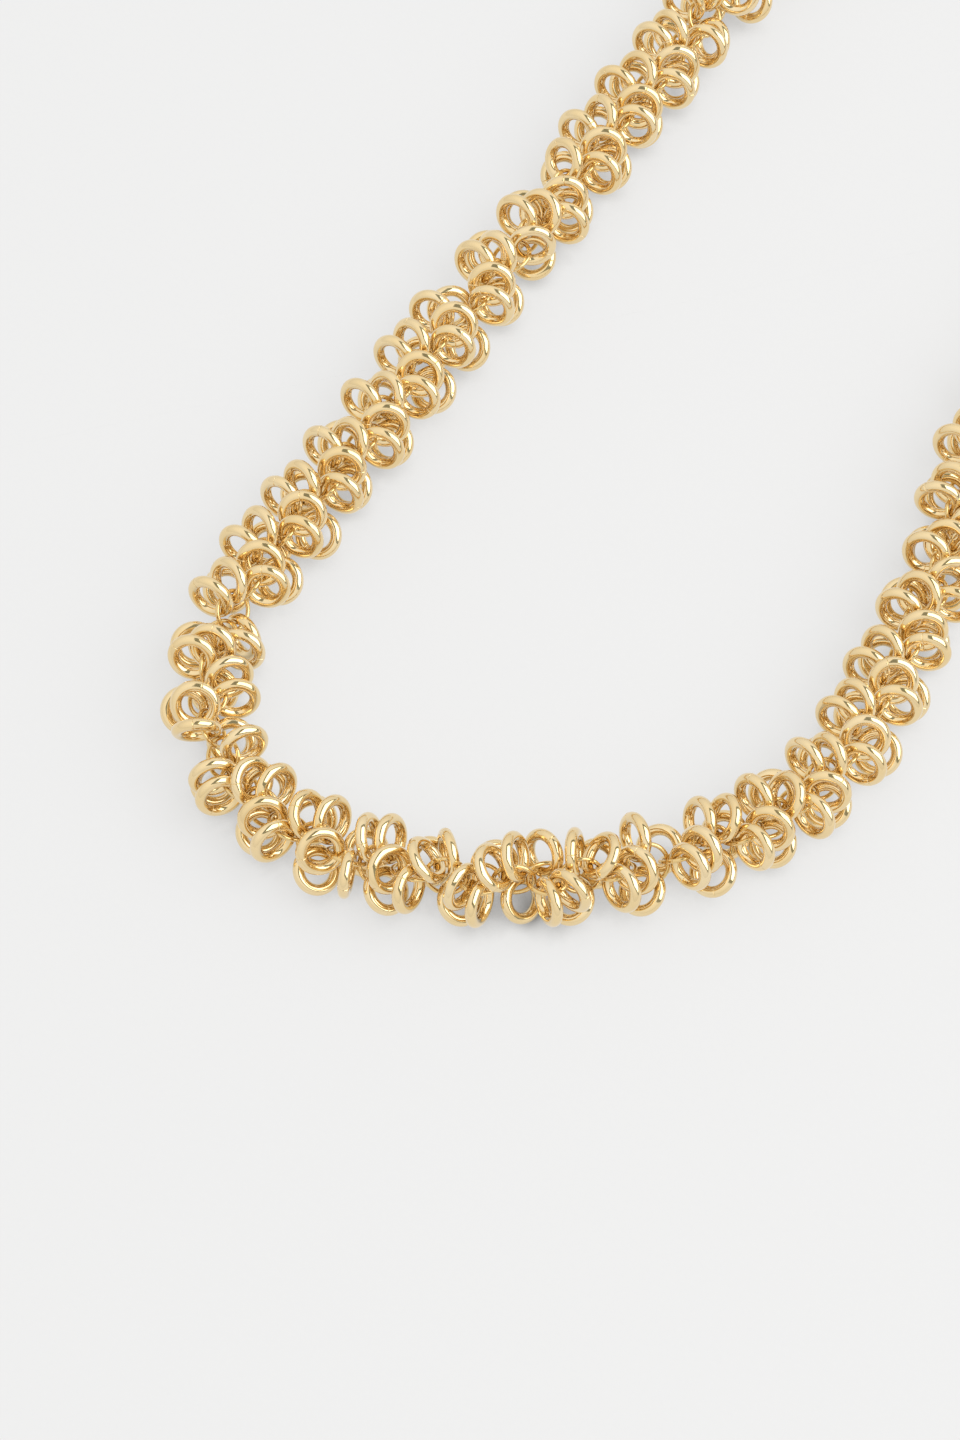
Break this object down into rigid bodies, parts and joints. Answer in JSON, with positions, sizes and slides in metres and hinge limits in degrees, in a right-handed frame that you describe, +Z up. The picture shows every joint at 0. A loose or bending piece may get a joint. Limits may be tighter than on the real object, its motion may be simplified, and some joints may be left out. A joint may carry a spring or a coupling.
{
  "type": "chain necklace",
  "caption": "Gold-tone cluster chain necklace of thick loose rings on thin link rings, laid open in a U, with a lobster clasp, extender and bead end.",
  "frame": {"origin": "on the table under the middle of the laid necklace's box", "axes": "+X across the U from the clasp's strand to the extender's strand, +Y from the curve toward the open ends, +Z up from the table"},
  "size_m": [0.0926, 0.2158, 0.0106],
  "materials": {
    "thin_rings": "polished, gold-plated",
    "thick_rings": "polished, gold-plated",
    "clasp": "polished, gold-plated",
    "spring": "plain spring steel"
  },
  "bodies": {
    "stretch_00": {"links_00": "thin_rings", "rings_00": "thick_rings"},
    "stretch_01": {"links_01": "thin_rings", "rings_01": "thick_rings"},
    "stretch_02": {"links_02": "thin_rings", "rings_02": "thick_rings"},
    "stretch_03": {"links_03": "thin_rings", "rings_03": "thick_rings"},
    "stretch_04": {"links_04": "thin_rings", "rings_04": "thick_rings"},
    "stretch_05": {"links_05": "thin_rings", "rings_05": "thick_rings"},
    "stretch_06": {"links_06": "thin_rings", "rings_06": "thick_rings"},
    "stretch_07": {"links_07": "thin_rings", "rings_07": "thick_rings"},
    "stretch_08": {"links_08": "thin_rings", "rings_08": "thick_rings"},
    "stretch_09": {"links_09": "thin_rings", "rings_09": "thick_rings"},
    "stretch_10": {"links_10": "thin_rings", "rings_10": "thick_rings"},
    "stretch_11": {"links_11": "thin_rings", "rings_11": "thick_rings"},
    "stretch_12": {"links_12": "thin_rings", "rings_12": "thick_rings"},
    "stretch_13": {"links_13": "thin_rings", "rings_13": "thick_rings"},
    "stretch_14": {"links_14": "thin_rings", "rings_14": "thick_rings"},
    "stretch_15": {"links_15": "thin_rings", "rings_15": "thick_rings"},
    "stretch_16": {"links_16": "thin_rings", "rings_16": "thick_rings"},
    "stretch_17": {"links_17": "thin_rings", "rings_17": "thick_rings"},
    "stretch_18": {"links_18": "thin_rings", "rings_18": "thick_rings"},
    "stretch_19": {"links_19": "thin_rings", "rings_19": "thick_rings"},
    "stretch_20": {"links_20": "thin_rings", "rings_20": "thick_rings"},
    "stretch_21": {"links_21": "thin_rings", "rings_21": "thick_rings"},
    "clasp_ring": {"clasp_ring": "thin_rings"},
    "clasp": {"clasp_body": "clasp", "clasp_pin": "clasp", "clasp_spring": "spring"},
    "trigger": {"clasp_trigger": "clasp"},
    "extender_1": {"extender_ring_1": "thin_rings"},
    "extender_2": {"extender_ring_2": "thin_rings"},
    "extender_3": {"extender_ring_3": "thin_rings"},
    "extender_4": {"extender_ring_4": "thin_rings"},
    "extender_5": {"extender_ring_5": "thin_rings"},
    "extender_6": {"extender_ring_6": "thin_rings"},
    "bead": {"end_bead": "thick_rings"}
  },
  "joints": [
    {"name": "bend_00_01", "type": "hinge", "parent": "stretch_01", "child": "stretch_00", "pos_m": [-0.02991, 0.07096, 0.005], "axis": [0, 0, -1], "range_deg": [-10, 10]},
    {"name": "bend_01_02", "type": "hinge", "parent": "stretch_02", "child": "stretch_01", "pos_m": [-0.03127, 0.05151, 0.005], "axis": [0.9976, -0.0698, 0], "range_deg": [-10, 10]},
    {"name": "bend_02_03", "type": "hinge", "parent": "stretch_03", "child": "stretch_02", "pos_m": [-0.03263, 0.03206, 0.005], "axis": [0, 0, 1], "range_deg": [-10, 10]},
    {"name": "bend_03_04", "type": "hinge", "parent": "stretch_04", "child": "stretch_03", "pos_m": [-0.03399, 0.0126, 0.005], "axis": [0.9976, -0.0698, 0], "range_deg": [-10, 10]},
    {"name": "bend_04_05", "type": "hinge", "parent": "stretch_05", "child": "stretch_04", "pos_m": [-0.03535, -0.00685, 0.005], "axis": [0, 0, 1], "range_deg": [-10, 10]},
    {"name": "bend_05_06", "type": "hinge", "parent": "stretch_06", "child": "stretch_05", "pos_m": [-0.03671, -0.0263, 0.005], "axis": [-0.9976, 0.0698, 0], "range_deg": [-10, 10]},
    {"name": "bend_06_07", "type": "hinge", "parent": "stretch_07", "child": "stretch_06", "pos_m": [-0.03808, -0.04575, 0.005], "axis": [0, 0, -1], "range_deg": [-10, 10]},
    {"name": "bend_07_08", "type": "hinge", "parent": "stretch_08", "child": "stretch_07", "pos_m": [-0.03944, -0.0652, 0.005], "axis": [-0.9976, 0.0698, 0], "range_deg": [-10, 10]},
    {"name": "bend_08_09", "type": "hinge", "parent": "stretch_09", "child": "stretch_08", "pos_m": [-0.03963, -0.08466, 0.005], "axis": [0, 0, -1], "range_deg": [-10, 10]},
    {"name": "bend_09_10", "type": "hinge", "parent": "stretch_10", "child": "stretch_09", "pos_m": [-0.02887, -0.0999, 0.005], "axis": [0.4452, 0.8954, 0], "range_deg": [-10, 10]},
    {"name": "bend_10_11", "type": "hinge", "parent": "stretch_11", "child": "stretch_10", "pos_m": [-0.00982, -0.10132, 0.005], "axis": [0, 0, 1], "range_deg": [-10, 10]},
    {"name": "bend_11_12", "type": "hinge", "parent": "stretch_11", "child": "stretch_12", "pos_m": [0.00778, -0.09314, 0.005], "axis": [0.5501, -0.8351, 0], "range_deg": [-10, 10]},
    {"name": "bend_12_13", "type": "hinge", "parent": "stretch_12", "child": "stretch_13", "pos_m": [0.02233, -0.08026, 0.005], "axis": [0, 0, 1], "range_deg": [-10, 10]},
    {"name": "bend_13_14", "type": "hinge", "parent": "stretch_13", "child": "stretch_14", "pos_m": [0.03079, -0.06294, 0.005], "axis": [-0.9802, 0.1981, 0], "range_deg": [-10, 10]},
    {"name": "bend_14_15", "type": "hinge", "parent": "stretch_14", "child": "stretch_15", "pos_m": [0.03048, -0.04356, 0.005], "axis": [0, 0, -1], "range_deg": [-10, 10]},
    {"name": "bend_15_16", "type": "hinge", "parent": "stretch_15", "child": "stretch_16", "pos_m": [0.02697, -0.02438, 0.005], "axis": [-0.9812, -0.1929, 0], "range_deg": [-10, 10]},
    {"name": "bend_16_17", "type": "hinge", "parent": "stretch_16", "child": "stretch_17", "pos_m": [0.02623, -0.00498, 0.005], "axis": [0, 0, -1], "range_deg": [-10, 10]},
    {"name": "bend_17_18", "type": "hinge", "parent": "stretch_17", "child": "stretch_18", "pos_m": [0.02921, 0.01429, 0.005], "axis": [0.9877, -0.1564, 0], "range_deg": [-10, 10]},
    {"name": "bend_18_19", "type": "hinge", "parent": "stretch_18", "child": "stretch_19", "pos_m": [0.03226, 0.03355, 0.005], "axis": [0, 0, 1], "range_deg": [-10, 10]},
    {"name": "bend_19_20", "type": "hinge", "parent": "stretch_19", "child": "stretch_20", "pos_m": [0.03531, 0.05281, 0.005], "axis": [0.9877, -0.1564, 0], "range_deg": [-10, 10]},
    {"name": "bend_20_21", "type": "hinge", "parent": "stretch_20", "child": "stretch_21", "pos_m": [0.03836, 0.07207, 0.005], "axis": [0, 0, 1], "range_deg": [-10, 10]},
    {"name": "clasp_ring_swing", "type": "hinge", "parent": "stretch_00", "child": "clasp_ring", "pos_m": [-0.02852, 0.09084, 0.005], "axis": [-0.9976, 0.0698, 0], "range_deg": [-30, 5]},
    {"name": "clasp_turn", "type": "hinge", "parent": "clasp_ring", "child": "clasp", "pos_m": [-0.02844, 0.092, 0.00384], "axis": [0.0126, 0.1801, 0.9836], "range_deg": [-30, 0]},
    {"name": "trigger_press", "type": "hinge", "parent": "clasp", "child": "trigger", "pos_m": [-0.02928, 0.09861, 0.00264], "axis": [-0.0126, -0.1801, -0.9836], "range_deg": [0, 20], "stiffness_Nm_per_rad": 0.01, "springref_deg": -11.46},
    {"name": "extender_swing_1", "type": "hinge", "parent": "stretch_21", "child": "extender_1", "pos_m": [0.04147, 0.09175, 0.005], "axis": [0.9877, -0.1564, 0], "range_deg": [-5, 15]},
    {"name": "extender_swing_2", "type": "hinge", "parent": "extender_1", "child": "extender_2", "pos_m": [0.04166, 0.09293, 0.00367], "axis": [0.1162, 0.734, 0.6691], "range_deg": [-20, 40]},
    {"name": "extender_swing_3", "type": "hinge", "parent": "extender_2", "child": "extender_3", "pos_m": [0.04193, 0.09461, 0.00234], "axis": [0.9877, -0.1565, 0], "range_deg": [-40, 5]},
    {"name": "extender_swing_4", "type": "hinge", "parent": "extender_3", "child": "extender_4", "pos_m": [0.04225, 0.09666, 0.00175], "axis": [-0.0109, -0.0689, -0.9976], "range_deg": [-15, 40]},
    {"name": "extender_swing_5", "type": "hinge", "parent": "extender_4", "child": "extender_5", "pos_m": [0.0426, 0.09883, 0.00167], "axis": [-0.9877, 0.1565, 0], "range_deg": [-30, 30]},
    {"name": "extender_swing_6", "type": "hinge", "parent": "extender_5", "child": "extender_6", "pos_m": [0.04294, 0.101, 0.00167], "axis": [0, 0, 1], "range_deg": [-30, 30]},
    {"name": "bead_swing", "type": "hinge", "parent": "extender_6", "child": "bead", "pos_m": [0.04331, 0.10337, 0.00167], "axis": [0, 0, 1], "range_deg": [-30, 30]}
  ]
}
